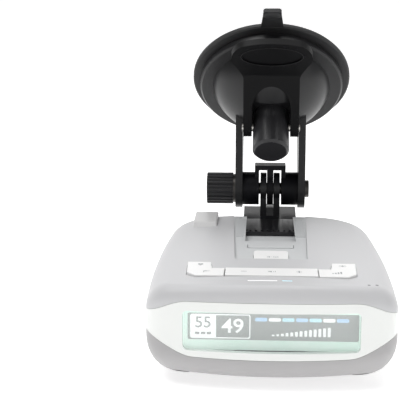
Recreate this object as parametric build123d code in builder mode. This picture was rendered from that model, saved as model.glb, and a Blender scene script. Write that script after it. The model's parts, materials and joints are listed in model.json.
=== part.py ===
from build123d import *
from math import cos, radians, sin, sqrt
import os

# Radar detector on a suction-cup windshield mount, in millimetres.
# The origin is the centre of the suction face on the glass. +X is to the driver's right,
# +Y runs forward to the windshield and +Z is up. The detector hangs level below the mount.

# ---- windshield mount -------------------------------------------------------------------
glass_rake = 45.0            # angle of the glass normal below the horizontal
pad_r = 33.5                 # rubber suction pad
pad_rim_t = 2.3
pad_body_r = 29.4
pad_body_t = 3.8
flange_r = 30.4              # hard base: flange, step ring and dome
flange_t = 3.0
dome_r = 26.7
dome_top_z = 24.06
step_r = dome_r - 2.2
dome_wall = 2.2
stem_r = 7.5                 # stem that pulls the pad up
stem_top_z = 40.7
stem_fit = 0.1               # radial running clearance of the stem in the dome
stem_drop = 2.0              # travel of the stem when the lever opens
stem_foot_r = 11.0
stem_foot_t = 2.0
pin_z = 28.0                 # lever pin
pin_r = 1.65
pin_fit = 0.05
lever_half = 11.5
lever_inner = 8.0
lever_pad_half = 16.2
lever_end_y = 40.3
lever_pad_z = 18.0
lever_pad_t = 3.0
lever_gap = 0.6
cam_heel = 6.1
cam_flat = 1.5
cam_relief = 0.17
cam_open_r = 3.8
cam_turn = 80.0              # travel of the lever, degrees
cam_gap = 0.1
tab_w = 9.6                  # pull tab of the pad
tab_tip_w = 7.4
tab_end_y = 42.5

# ---- clamp and tilt joint ---------------------------------------------------------------
axis_y = -30.2               # tilt axis in the mount's own frame
axis_z = 37.8
arm_inner = 11.9
arm_t = 3.0
arm_end_r = 8.3
bolt_r = 2.5
bolt_fit = 0.1
barrel_r = 7.1
finger_mid = 2.7             # yoke fingers and slots
finger_side = 1.8
slot_w = 3.45
bridge_top = 10.6
bridge_t = 2.0
yoke_depth = 9.0
fin_t = 2.6
fin_gap = 0.2
fin_r = 6.9
knob_r = 6.8
knob_len = 11.3
knob_ribs = 24
knob_rib_r = 0.55
washer_r = 6.2
washer_t = 1.0
clamp_gap = 0.05
head_r = 3.7
head_t = 1.8

# ---- blade that slides into the detector ------------------------------------------------
blade_drop = 13.2            # tilt axis down to the blade's lower face
blade_t = 1.5
blade_w = 20.8
blade_bar_w = 21.6
blade_bar_len = 2.2
blade_wide_w = 22.4
blade_reach = 36.0           # tilt axis to the end bar
wide_front = 9.2
wide_rear = 5.8
ramp_rise = 2.6
notch_len = 2.0
notch_depth = 1.2
rib_pitch = 2.3
rib_h = 0.25
pedestal_w = 8.3
blade_fit = 0.25
blade_seat_z = 29.4          # underside of the blade above the detector's underside

# ---- detector ---------------------------------------------------------------------------
body_len = 136.4
stretch = body_len / 136.4   # pieces along the case keep their share of its length
axis_behind_front = body_len + 1.2             # front face to the tilt axis
side_half = 42.9             # half width at the middle of the side
front_half = side_half - 2.7                   # half width at the front corners
rear_half = side_half - 1.9
face_foot_half = side_half - 8.4               # outline seen from the front
face_side_half = side_half + 3.1
face_brow_half = side_half - 2.9
front_sag = 6.0
rear_sag = 6.4
front_corner_r = 8.0
rear_corner_r = 22.0
top_front_z = 34.8
top_rear_z = 32.0
chin_len = 24.0              # the underside curves up to the bezel over this length
chin_mid_y = 6.4
chin_mid_z = 3.9
wall = 2.0
parting_z = 20.0
panel_gap = 0.1
bezel_top_z = 29.6
bezel_bottom_z = 10.8
bezel_flat_half = side_half - 16.9       # the long edges are nearly flat to here, then draw in
bezel_flat_sag = 0.3
bezel_shoulder = side_half - 7.9
bezel_shoulder_drop = 2.6
bezel_tip_half = face_side_half
bezel_tip_top_z = 22.6
bezel_tip_bottom_z = 19.2
bezel_wrap = 12.0
bezel_t = 2.2
window_w = 57.0
window_h = 13.1
window_z = 19.75
lens_t = 1.4
panel_t = 1.2
lens_fit = 0.1
recess_front = 43.0 * stretch          # dock recess in the top
recess_front_half = 12.8
recess_rear_half = 16.0
deck_end = 80.0 * stretch
lip_gap = 19.6
lip_t = 0.8
tray_under = 26.6
key_gap = 0.25
key_travel = 0.6
key_proud = 0.5
mute_proud = 1.6
release_proud = 0.3
flange_out = 0.9
flange_h = 0.8
mute_w = 12.4
mute_len = 13.8
mute_front = 43.6 * stretch
release_w = 17.0
release_len = 6.0
release_front = 68.0 * stretch
row_front = 16.0             # lower row of keys
row_rear = 26.0
leg_rear = 34.4
rocker_half = 15.4
key_seam = 0.4
key_out = 28.2
leg_in = 20.8
keyboard_z = 26.8
keyboard_t = 1.0
switch_h = 1.5
board_z = 13.0
board_t = 1.6
board_half = 26.0
board_front = 14.0
board_rear = 104.0 * stretch
post_x = 31.0
post_front_y = 46.0 * stretch
post_rear_y = 108.0 * stretch
post_r = 2.8
screw_r = 1.0
screw_head_r = 1.9
screw_head_t = 1.3
board_post_x = 22.0
board_post_front_y = 20.0
board_post_rear_y = 96.0 * stretch
board_post_r = 2.3
jack_y = 96.0 * stretch      # sockets in the right-hand wall
usb_y = 80.0 * stretch
audio_y = 66.0 * stretch
socket_z = 14.5
socket_inset = 2.5
audio_r = 1.77
audio_depth = 14.0

# ---- frames -----------------------------------------------------------------------------
dome_centre_z = dome_top_z - dome_r
rake_s = sin(radians(glass_rake))
rake_c = cos(radians(glass_rake))
GLASS = Plane(origin=(0, 0, 0), x_dir=(1, 0, 0), z_dir=(0, -rake_s, -rake_c))
SIDE = Plane(origin=(0, 0, 0), x_dir=(0, -rake_c, rake_s), z_dir=(1, 0, 0))
POST = Axis((0, 0, 0), (0, -rake_s, -rake_c))
tilt_y = -axis_y * rake_c - axis_z * rake_s
tilt_z = axis_y * rake_s - axis_z * rake_c
front_y = tilt_y - axis_behind_front
blade_z = tilt_z - blade_drop
tray_floor = blade_seat_z - blade_fit          # in the detector's own height
bottom_z = blade_z - blade_seat_z
BASE = Plane(origin=(0, front_y, bottom_z))
FRONT = Plane(origin=(0, front_y, bottom_z), x_dir=(1, 0, 0), z_dir=(0, -1, 0))
LONG = Plane(origin=(0, front_y, bottom_z), x_dir=(0, 1, 0), z_dir=(1, 0, 0))
TILT = Plane(origin=(0, tilt_y, tilt_z), x_dir=(0, 1, 0), z_dir=(1, 0, 0))
PIN = Plane(origin=SIDE.from_local_coords((0, pin_z, 0)), x_dir=(0, -rake_c, rake_s), z_dir=(1, 0, 0))
big = 400.0


def top_at(y):
    """Height of the top cover's outer surface at a distance y behind the front."""
    return top_front_z + (top_rear_z - top_front_z) * (y - 8.0) / (body_len - 13.4)


def cover_hull(inset):
    """Outer body of the detector, drawn in by inset on every side."""
    with BuildPart() as hull:
        with BuildSketch(BASE.offset(-5)) as plan:
            corner = (front_half - inset, front_sag + inset)
            tail = (rear_half - inset, body_len - rear_sag - inset)
            with BuildLine():
                ThreePointArc((-corner[0], corner[1]), (0, inset), corner)
                ThreePointArc(corner, (side_half - inset, body_len / 2), tail)
                ThreePointArc(tail, (0, body_len - inset), (-tail[0], tail[1]))
                ThreePointArc((-tail[0], tail[1]), (inset - side_half, body_len / 2),
                              (-corner[0], corner[1]))
            make_face()
            fillet(plan.vertices().group_by(Axis.Y)[0], front_corner_r - inset)
            fillet(plan.vertices().group_by(Axis.Y)[-1], rear_corner_r - inset)
        extrude(amount=50)
        with BuildSketch(LONG) as side:
            with BuildLine():
                l1 = Line((chin_len, 0), (body_len - 5, 0))
                l2 = Line(l1 @ 1, (body_len + 1, 9))
                l3 = Line(l2 @ 1, (body_len + 1, top_rear_z - 6))
                l4 = ThreePointArc(l3 @ 1, (body_len - 0.5, top_rear_z - 1.6), (body_len - 5.4, top_rear_z))
                l5 = Line(l4 @ 1, (8, top_front_z))
                l6 = ThreePointArc(l5 @ 1, (1.4, top_front_z - 1.8), (-1.5, bezel_top_z - 1.0))
                l7 = Line(l6 @ 1, (-1.5, bezel_bottom_z + 1.0))
                ThreePointArc(l7 @ 1, (chin_mid_y, chin_mid_z), l1 @ 0)
            make_face()
            if inset:
                offset(amount=-inset)
        extrude(amount=60, both=True, mode=Mode.INTERSECT)
        with BuildSketch(FRONT.offset(10)) as face:
            with BuildLine():
                ThreePointArc((-face_foot_half, 2.2), (0, 0), (face_foot_half, 2.2))
                Polyline((face_foot_half, 2.2), (face_side_half, 19), (face_side_half, 22),
                         (face_brow_half, 32.6))
                ThreePointArc((face_brow_half, 32.6), (0, 35.6), (-face_brow_half, 32.6))
                Polyline((-face_brow_half, 32.6), (-face_side_half, 22), (-face_side_half, 19),
                         (-face_foot_half, 2.2))
            make_face()
            fillet(face.vertices().group_by(Axis.Y)[0], 8)
            fillet(face.vertices().group_by(Axis.Y)[-1], 8)
            if inset:
                offset(amount=-inset)
        extrude(amount=-(body_len + 20), mode=Mode.INTERSECT)
    return hull.part


def bezel_zone(grow, depth):
    """Region of the front that belongs to the bezel, widened by grow."""
    with BuildPart() as zone:
        with BuildSketch(FRONT.offset(5)) as face:
            with BuildLine():
                z1 = ThreePointArc((-bezel_flat_half, bezel_top_z - bezel_flat_sag), (0, bezel_top_z),
                                   (bezel_flat_half, bezel_top_z - bezel_flat_sag))
                z2 = ThreePointArc(z1 @ 1, (bezel_shoulder, bezel_top_z - bezel_shoulder_drop),
                                   (bezel_tip_half, bezel_tip_top_z))
                z3 = Line(z2 @ 1, (bezel_tip_half, bezel_tip_bottom_z))
                z4 = ThreePointArc(z3 @ 1, (bezel_shoulder, bezel_bottom_z + bezel_shoulder_drop),
                                   (bezel_flat_half, bezel_bottom_z + bezel_flat_sag))
                z5 = ThreePointArc(z4 @ 1, (0, bezel_bottom_z),
                                   (-bezel_flat_half, bezel_bottom_z + bezel_flat_sag))
                z6 = ThreePointArc(z5 @ 1, (-bezel_shoulder, bezel_bottom_z + bezel_shoulder_drop),
                                   (-bezel_tip_half, bezel_tip_bottom_z))
                z7 = Line(z6 @ 1, (-bezel_tip_half, bezel_tip_top_z))
                ThreePointArc(z7 @ 1, (-bezel_shoulder, bezel_top_z - bezel_shoulder_drop), z1 @ 0)
            make_face()
            if grow:
                offset(amount=grow)
        extrude(amount=-(depth + 5))
    return zone.part


def half_space(z, up):
    """Everything above or below a height in the detector."""
    with BuildPart() as half:
        with BuildSketch(BASE.offset(z)):
            Rectangle(big, big)
        extrude(amount=60 if up else -60)
    return half.part


outer_hull = cover_hull(0)
inner_hull = cover_hull(wall)


def recess_plan(z, grow):
    """Outline of the dock recess, open past the rear, on a plane at height z."""
    with BuildSketch(BASE.offset(z)) as plan:
        with BuildLine():
            Polyline((-recess_front_half - grow, recess_front - grow),
                     (recess_front_half + grow, recess_front - grow),
                     (recess_rear_half + grow, body_len + 10), (-recess_rear_half - grow, body_len + 10),
                     close=True)
        make_face()
    return plan.sketch


def key_plan(name, z, grow):
    """Plan outline of one key at height z, widened by grow."""
    with BuildSketch(BASE.offset(z)) as plan:
        if name == "mute":
            with Locations((0, mute_front + mute_len / 2)):
                RectangleRounded(mute_w + 2 * grow, mute_len + 2 * grow, 1.5)
        elif name == "release":
            with Locations((0, release_front + release_len / 2)):
                RectangleRounded(release_w + 2 * grow, release_len + 2 * grow, 1.2)
        elif name == "volume":
            with Locations((0, (row_front + row_rear) / 2)):
                Rectangle(2 * (rocker_half + grow), row_rear - row_front + 2 * grow)
        else:
            side = -1 if name == "left" else 1
            near = rocker_half + key_seam
            with BuildLine():
                Polyline((side * near, row_front), (side * (key_out - 3), row_front),
                         (side * key_out, row_front + 4), (side * (key_out + 0.6), leg_rear),
                         (side * leg_in, leg_rear), (side * (leg_in - 0.8), row_rear),
                         (side * near, row_rear), close=True)
            make_face()
            if grow:
                offset(amount=grow, kind=Kind.INTERSECTION)
    return plan.sketch


def block(x, y, z, w, length, h):
    """A box in the detector's frame: centred on x and y, standing on z."""
    with BuildPart() as box:
        with BuildSketch(BASE.offset(z)):
            with Locations((x, y)):
                Rectangle(w, length)
        extrude(amount=h)
    return box.part


def save(piece, name):
    piece.label = name
    export_step(piece, "parts/" + name + ".step")


os.makedirs("parts", exist_ok=True)

# ==== windshield mount ===================================================================
with BuildPart() as suction_pad:
    with BuildSketch(SIDE):
        with BuildLine():
            Polyline((0, 0), (pad_r - 0.4, 0), (pad_r, 0.6), (pad_r, pad_rim_t - 0.5),
                     (pad_r - 0.6, pad_rim_t), (pad_body_r, pad_rim_t), (pad_body_r, pad_body_t),
                     (stem_foot_r + 3.6, pad_body_t), (stem_foot_r + 3, pad_body_t + 1.2),
                     (stem_foot_r + 0.5, pad_body_t + 1.2),
                     (stem_foot_r + 0.5, 1.5), (0, 1.5), close=True)
        make_face()
    revolve(axis=POST, revolution_arc=360)
    with BuildSketch(GLASS.offset(0.9)):
        with BuildLine():
            Polyline((-tab_w / 2, pad_r - 2), (-tab_tip_w / 2, tab_end_y - 3),
                     (-tab_tip_w / 2 + 1.6, tab_end_y), (tab_tip_w / 2 - 1.6, tab_end_y),
                     (tab_tip_w / 2, tab_end_y - 3), (tab_w / 2, pad_r - 2), close=True)
        make_face()
    extrude(amount=1.3)
    with BuildSketch(GLASS.offset(0.9)):
        with Locations((0, tab_end_y - 1.4)):
            RectangleRounded(tab_tip_w, 2.8, 1.2)
    extrude(amount=2.0)
save(suction_pad.part, "suction_pad")

flange_top = pad_body_t + flange_t
step_top = dome_centre_z + sqrt(dome_r ** 2 - step_r ** 2)
inner_r = dome_r - dome_wall
cavity_r = inner_r - 2.4
cavity_z = dome_centre_z + sqrt(inner_r ** 2 - cavity_r ** 2)
boss_r = stem_r + 2.0
boss_z = dome_centre_z + sqrt(inner_r ** 2 - boss_r ** 2)
spring_seat_z = 15.0
foot_z = 1.5 + stem_drop + 0.15
arm_outer = arm_inner + arm_t

with BuildPart() as mount_base:
    with BuildSketch(SIDE):
        with BuildLine():
            m1 = Polyline((0, pad_body_t), (flange_r, pad_body_t), (flange_r, flange_top - 0.8),
                          (flange_r - 0.8, flange_top), (step_r + 0.5, flange_top), (step_r, step_top))
            m2 = ThreePointArc(m1 @ 1, (dome_r * rake_s, dome_centre_z + dome_r * rake_c),
                               (0, dome_centre_z + dome_r))
            Line(m2 @ 1, m1 @ 0)
        make_face()
    revolve(axis=POST, revolution_arc=360)
    for inner in (arm_inner, -arm_outer):
        with BuildSketch(SIDE.offset(inner)):
            with BuildLine():
                Polyline((axis_y - arm_end_r, axis_z), (axis_y + 2.6, flange_top - 1.0),
                         (-8.0, flange_top + 2.0), (0.4, 15.8), (-1.6, 18.8),
                         (axis_y + 5.6, axis_z + 6.13), close=True)
            make_face()
            with Locations((axis_y, axis_z)):
                Circle(arm_end_r)
        extrude(amount=arm_t)
    with BuildSketch(SIDE):
        with BuildLine():
            c1 = Polyline((0, spring_seat_z), (0, -5), (cavity_r, -5), (cavity_r, cavity_z))
            c2 = ThreePointArc(c1 @ 1, (inner_r * rake_s, dome_centre_z + inner_r * rake_c),
                               (boss_r, boss_z))
            Polyline(c2 @ 1, (boss_r, spring_seat_z), (0, spring_seat_z))
        make_face()
    revolve(axis=POST, revolution_arc=360, mode=Mode.SUBTRACT)
    with BuildSketch(GLASS):
        Circle(stem_r + stem_fit)
    extrude(amount=50, mode=Mode.SUBTRACT)
    # flat seats under the two cams
    with BuildSketch(GLASS.offset(pin_z - cam_heel - cam_gap)):
        with Locations((0, 2)):
            Rectangle(2 * lever_half + 0.6, 14)
    extrude(amount=6, mode=Mode.SUBTRACT)
    with BuildSketch(SIDE.offset(-arm_outer - 1)):
        with Locations((axis_y, axis_z)):
            Circle(bolt_r + bolt_fit)
    extrude(amount=2 * arm_outer + 2, mode=Mode.SUBTRACT)
save(mount_base.part, "mount_base")

with BuildPart() as stem_post:
    with BuildSketch(SIDE):
        with BuildLine():
            Polyline((0, foot_z), (stem_foot_r, foot_z), (stem_foot_r, foot_z + stem_foot_t),
                     (stem_r, foot_z + stem_foot_t), (stem_r, stem_top_z - 1.0),
                     (stem_r - 1.0, stem_top_z), (0, stem_top_z), close=True)
        make_face()
    revolve(axis=POST, revolution_arc=360)
    with BuildSketch(PIN.offset(-stem_r - 1)):
        Circle(pin_r)
    extrude(amount=2 * stem_r + 2, mode=Mode.SUBTRACT)
save(stem_post.part, "stem_post")

spring_z = foot_z + stem_foot_t
spring_wire = 0.6
spring_mean_r = stem_r + 0.35 + spring_wire
spring_h = spring_seat_z - spring_z - 2 * spring_wire - 0.1
spring_turns = 4
with BuildPart() as return_spring:
    with BuildLine():
        coil = Helix(pitch=spring_h / spring_turns, height=spring_h, radius=spring_mean_r,
                     center=GLASS.offset(spring_z + spring_wire + 0.05).origin, direction=GLASS.z_dir)
    with BuildSketch(Plane(origin=coil @ 0, z_dir=coil % 0)):
        Circle(spring_wire)
    sweep(path=coil, is_frenet=True)
save(return_spring.part, "return_spring")

with BuildPart() as lever_pin:
    with BuildSketch(PIN.offset(-lever_half - 0.6)):
        Circle(pin_r)
    extrude(amount=2 * lever_half + 1.2)
save(lever_pin.part, "lever_pin")


def cam_at(turn):
    """Point of the cam that stands over the seat when the lever has turned this far."""
    r = cam_open_r + (cam_heel - cam_relief - cam_open_r) * (1 - turn / cam_turn)
    return (-r * sin(radians(turn)), -r * cos(radians(turn)))


with BuildPart() as cam_lever:
    with BuildSketch(PIN):
        with BuildLine():
            p1 = Line((cam_flat, -cam_heel), cam_at(0))
            p2 = ThreePointArc(p1 @ 1, cam_at(cam_turn * 0.25), cam_at(cam_turn * 0.5))
            p3 = ThreePointArc(p2 @ 1, cam_at(cam_turn * 0.75), cam_at(cam_turn))
            p4 = ThreePointArc(p3 @ 1, (-cam_open_r * 0.766, cam_open_r * 0.643),
                               (cam_open_r * 0.559, cam_open_r * 0.829))
            Polyline(p4 @ 1, (21.5, lever_pad_z - pin_z), (lever_end_y, lever_pad_z - pin_z),
                     (lever_end_y, lever_pad_z - pin_z - lever_pad_t),
                     (22.5, lever_pad_z - pin_z - lever_pad_t), (9.0, -6.4), (4.0, -cam_heel),
                     (cam_flat, -cam_heel))
        make_face()
    extrude(amount=lever_pad_half + 1, both=True)
    with BuildSketch(GLASS.offset(5)):
        with BuildLine():
            Line((-lever_half, -8), (-lever_half, 20.5))
            ThreePointArc((-lever_half, 20.5), (-13.3, 24.4), (-lever_pad_half + 0.3, 29.0))
            ThreePointArc((-lever_pad_half + 0.3, 29.0), (-15.1, 35.4), (-10.5, 38.9))
            ThreePointArc((-10.5, 38.9), (0, lever_end_y), (10.5, 38.9))
            ThreePointArc((10.5, 38.9), (15.1, 35.4), (lever_pad_half - 0.3, 29.0))
            ThreePointArc((lever_pad_half - 0.3, 29.0), (13.3, 24.4), (lever_half, 20.5))
            Polyline((lever_half, 20.5), (lever_half, -8), (-lever_half, -8))
        make_face()
    extrude(amount=35, mode=Mode.INTERSECT)
    with BuildSketch(GLASS.offset(5)):
        with Locations((0, 0)):
            Rectangle(2 * lever_inner, 18)
        with Locations((0, 9)):
            Ellipse(lever_inner, 8.6)
    extrude(amount=35, mode=Mode.SUBTRACT)
    with Locations(GLASS.offset(dome_centre_z).origin):
        Sphere(dome_r + lever_gap, mode=Mode.SUBTRACT)
    with BuildSketch(GLASS.offset(lever_pad_z - 0.5)):
        with Locations((0, 32.6)):
            Ellipse(12.0, 4.9)
    extrude(amount=2, mode=Mode.SUBTRACT)
    with BuildSketch(PIN.offset(-lever_half - 1)):
        Circle(pin_r + pin_fit)
    extrude(amount=2 * lever_half + 2, mode=Mode.SUBTRACT)
save(cam_lever.part, "cam_lever")

# ==== clamp ==============================================================================
slot_x = finger_mid / 2 + slot_w / 2
frame_half = finger_mid / 2 + slot_w + finger_side
with BuildPart() as swivel_yoke:
    with BuildSketch(TILT.offset(-arm_inner)):
        Circle(barrel_r)
    extrude(amount=2 * arm_inner)
    with BuildSketch(TILT.offset(-frame_half)):
        with Locations((0, bridge_top / 2)):
            Rectangle(yoke_depth, bridge_top)
    extrude(amount=2 * frame_half)
    for x in (-slot_x, slot_x):
        with BuildSketch(TILT.offset(x - slot_w / 2)):
            with Locations((0, bridge_top - bridge_t - 10)):
                Rectangle(20, 20)
        extrude(amount=slot_w, mode=Mode.SUBTRACT)
    with BuildSketch(TILT.offset(-arm_inner - 1)):
        Circle(bolt_r + bolt_fit)
    extrude(amount=2 * arm_inner + 2, mode=Mode.SUBTRACT)
save(swivel_yoke.part, "swivel_yoke")

washer_x = -arm_outer - clamp_gap - washer_t
knob_x = washer_x - clamp_gap - knob_len
nut_len = knob_len - 3.0
nut_r = 4.0
with BuildPart() as clamp_bolt:
    with BuildSketch(TILT.offset(arm_outer)):
        Circle(head_r)
    extrude(amount=head_t)
    with BuildSketch(TILT.offset(arm_outer + head_t - 1.1)):
        RegularPolygon(1.9, 6)
    extrude(amount=1.1, mode=Mode.SUBTRACT)
    with BuildSketch(TILT.offset(knob_x + 2.6)):
        Circle(bolt_r)
    extrude(amount=arm_outer - knob_x - 2.6)
save(clamp_bolt.part, "clamp_bolt")

with BuildPart() as clamp_washer:
    with BuildSketch(TILT.offset(washer_x)):
        Circle(washer_r)
        Circle(bolt_r + bolt_fit, mode=Mode.SUBTRACT)
    extrude(amount=washer_t)
save(clamp_washer.part, "clamp_washer")

with BuildPart() as clamp_knob:
    with BuildSketch(TILT.offset(knob_x)):
        Circle(knob_r - knob_rib_r)
        with PolarLocations(knob_r - knob_rib_r, knob_ribs):
            Circle(knob_rib_r)
    extrude(amount=knob_len)
    chamfer(clamp_knob.faces().sort_by(Axis.X)[0].edges(), 0.25)
    with BuildSketch(TILT.offset(knob_x + 2.0)):
        Circle(nut_r)
    extrude(amount=knob_len, mode=Mode.SUBTRACT)
save(clamp_knob.part, "clamp_knob")

with BuildPart() as knob_nut:
    with BuildSketch(TILT.offset(knob_x + knob_len - nut_len)):
        Circle(nut_r)
        Circle(bolt_r + pin_fit, mode=Mode.SUBTRACT)
    extrude(amount=nut_len)
save(knob_nut.part, "knob_nut")

fin_in = finger_mid / 2 + fin_gap
with BuildPart() as dock_blade:
    for x in (fin_in, -fin_in - fin_t):
        with BuildSketch(TILT.offset(x)):
            Circle(fin_r)
            with BuildLine():
                Polyline((-5.6, -blade_drop + 1.2), (-6.0, -3.4), (6.0, -3.4), (5.2, -blade_drop + 3.2),
                         close=True)
            make_face()
        extrude(amount=fin_t)
    with BuildSketch(TILT.offset(-pedestal_w / 2)):
        with BuildLine():
            Polyline((-5.6, -blade_drop + 1.2), (-4.8, -barrel_r - 0.6), (4.6, -barrel_r - 0.6),
                     (5.2, -blade_drop + 3.2), close=True)
        make_face()
    extrude(amount=pedestal_w)
    # wide shoulder, ramped up behind the detector
    with BuildSketch(TILT.offset(-blade_wide_w / 2)):
        with BuildLine():
            Polyline((-wide_front, -blade_drop), (-wide_front, -blade_drop + blade_t),
                     (wide_rear, -blade_drop + blade_t + ramp_rise), (wide_rear, -blade_drop + ramp_rise),
                     (-wide_front + 3, -blade_drop), close=True)
        make_face()
    extrude(amount=blade_wide_w)
    with BuildSketch(Plane(origin=(0, tilt_y, blade_z))):
        with Locations((0, -(wide_front + blade_reach) / 2)):
            Rectangle(blade_w, blade_reach - wide_front)
        with Locations((0, -blade_reach + blade_bar_len / 2)):
            Rectangle(blade_bar_w, blade_bar_len)
        notch_y = -blade_reach + blade_bar_len + notch_len / 2
        with Locations((-blade_w / 2, notch_y), (blade_w / 2, notch_y)):
            Rectangle(2 * notch_depth, notch_len, mode=Mode.SUBTRACT)
    extrude(amount=blade_t)
    with BuildSketch(Plane(origin=(0, tilt_y, blade_z + blade_t))):
        with Locations((0, -(wide_front + blade_reach) / 2)):
            with GridLocations(rib_pitch, 1, 8, 1):
                Rectangle(0.9, blade_reach - wide_front - 4)
    extrude(amount=rib_h)
    with BuildSketch(TILT.offset(-pedestal_w)):
        Circle(bolt_r + bolt_fit)
    extrude(amount=2 * pedestal_w, mode=Mode.SUBTRACT)
save(dock_blade.part, "dock_blade")

# ==== detector case ======================================================================
channel_half = blade_bar_w / 2 + 0.3
rail_end = axis_behind_front - wide_front - 0.6
lip_z = tray_floor + blade_fit + blade_t + blade_fit
deck_z = lip_z + lip_t
hump_x = -26.7
hump_w = 9.6
hump_front = 105.0 * stretch
hump_rear = 126.0 * stretch
hump_z = 34.4
laser_z = 30.2
corner_posts = [(-post_x, post_front_y), (post_x, post_front_y),
                (-post_x, post_rear_y), (post_x, post_rear_y)]
board_posts = [(-board_post_x, board_post_front_y), (board_post_x, board_post_front_y),
               (-board_post_x, board_post_rear_y), (board_post_x, board_post_rear_y)]
case_gap = 0.05
roof_key_z = 31.0
speaker_y = 38.0 * stretch
speaker_r = 13.0
audio_case_r = 3.2
socket_x = side_half - socket_inset
# y, z, width and height of each rectangular socket
sockets = [(jack_y, socket_z, 11.7, 7.4), (usb_y, socket_z, 8.4, 4.6)]

with BuildPart() as top_cover:
    add(outer_hull)
    add(half_space(parting_z, False), mode=Mode.SUBTRACT)
    add(inner_hull, mode=Mode.SUBTRACT)
    with BuildSketch(LONG.offset(hump_x - hump_w / 2)):
        with BuildLine():
            Polyline((hump_front, 31.0), (hump_front + 4, hump_z - 0.6), (hump_rear - 1, hump_z),
                     (hump_rear, hump_z - 1.2), (hump_rear, 31.0), close=True)
        make_face()
    extrude(amount=hump_w)
    for x, y in corner_posts:
        with BuildSketch(BASE.offset(parting_z)):
            with Locations((x, y)):
                Circle(post_r)
        extrude(amount=top_at(y) - wall - parting_z + 0.2)
    add(bezel_zone(panel_gap, bezel_wrap + panel_gap), mode=Mode.SUBTRACT)
    extrude(recess_plan(tray_under - 1, 0), amount=20, mode=Mode.SUBTRACT)
    for key in ("left", "volume", "right"):
        extrude(key_plan(key, roof_key_z, key_gap), amount=10, mode=Mode.SUBTRACT)
    with BuildSketch(BASE.offset(parting_z - 1)):
        with Locations(*corner_posts):
            Circle(screw_r)
    extrude(amount=9, mode=Mode.SUBTRACT)
    with BuildSketch(BASE.offset(28)):
        with Locations((31.2, 8.6), (33.8, 9.4)):
            Circle(0.6)
    extrude(amount=10, mode=Mode.SUBTRACT)
    # the laser sensor's seat and window in the hump
    add(block(hump_x, hump_rear - 5, 27, hump_w - 2.0, 8, 6.2), mode=Mode.SUBTRACT)
    add(block(hump_x, hump_rear, laser_z, hump_w - 2.0, 4, 3.0), mode=Mode.SUBTRACT)
save(top_cover.part, "top_cover")

head_seat_z = 4.6
with BuildPart() as bottom_cover:
    add(outer_hull)
    add(half_space(parting_z - case_gap, True), mode=Mode.SUBTRACT)
    add(inner_hull, mode=Mode.SUBTRACT)
    for x, y in corner_posts:
        with BuildSketch(BASE.offset(wall - 0.4)):
            with Locations((x, y)):
                Circle(post_r)
        extrude(amount=parting_z - wall + 0.4)
    for x, y in board_posts:
        with BuildSketch(BASE.offset(wall - 0.8)):
            with Locations((x, y)):
                Circle(board_post_r)
        extrude(amount=board_z - wall + 0.8)
    add(outer_hull, mode=Mode.INTERSECT)
    add(bezel_zone(panel_gap, bezel_wrap + panel_gap), mode=Mode.SUBTRACT)
    with BuildSketch(BASE.offset(-1)):
        with Locations(*corner_posts):
            Circle(screw_r + 0.1)
    extrude(amount=parting_z + 2, mode=Mode.SUBTRACT)
    with BuildSketch(BASE.offset(-1)):
        with Locations(*corner_posts):
            Circle(screw_head_r + 0.2)
    extrude(amount=head_seat_z + 1, mode=Mode.SUBTRACT)
    with BuildSketch(BASE.offset(board_z - 6)):
        with Locations(*board_posts):
            Circle(screw_r)
    extrude(amount=8, mode=Mode.SUBTRACT)
    with BuildSketch(BASE.offset(-1)):
        with Locations((0, speaker_y)):
            with GridLocations(1, 3.2, 1, 6):
                SlotOverall(17, 1.4)
    extrude(amount=wall + 2, mode=Mode.SUBTRACT)
    for y, z, w, h in sockets:
        add(block(side_half, y, z - h / 2, 12, w + 0.3, h), mode=Mode.SUBTRACT)
    with BuildSketch(LONG.offset(side_half - 6)):
        with Locations((audio_y, socket_z)):
            Circle(audio_case_r + 0.1)
    extrude(amount=8, mode=Mode.SUBTRACT)
save(bottom_cover.part, "bottom_cover")

with BuildPart() as front_bezel:
    add(outer_hull)
    add(bezel_zone(0, bezel_wrap), mode=Mode.INTERSECT)
    add(cover_hull(bezel_t), mode=Mode.SUBTRACT)
    with BuildSketch(FRONT.offset(2)):
        with Locations((0, window_z)):
            RectangleRounded(window_w, window_h, 1.2)
    extrude(amount=-14, mode=Mode.SUBTRACT)
save(front_bezel.part, "front_bezel")

with BuildPart() as display_lens:
    add(cover_hull(0.4))
    with BuildSketch(FRONT.offset(2)):
        with Locations((0, window_z)):
            RectangleRounded(window_w - 2 * lens_fit, window_h - 2 * lens_fit, 1.1)
    extrude(amount=-14, mode=Mode.INTERSECT)
    add(cover_hull(0.4 + lens_t), mode=Mode.SUBTRACT)
save(display_lens.part, "display_lens")

panel_y = 5.8
panel_w = 54.4
panel_h = 10.4
panel_z = 21.0
board_v_t = 1.2
with BuildPart() as display_panel:
    add(block(0, panel_y + panel_t / 2, panel_z - panel_h / 2, panel_w, panel_t, panel_h))
save(display_panel.part, "display_panel")

with BuildPart() as display_board:
    add(block(0, panel_y + panel_t + board_v_t / 2, window_z - 5.0, 62, board_v_t, 13.5))
save(display_board.part, "display_board")

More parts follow.
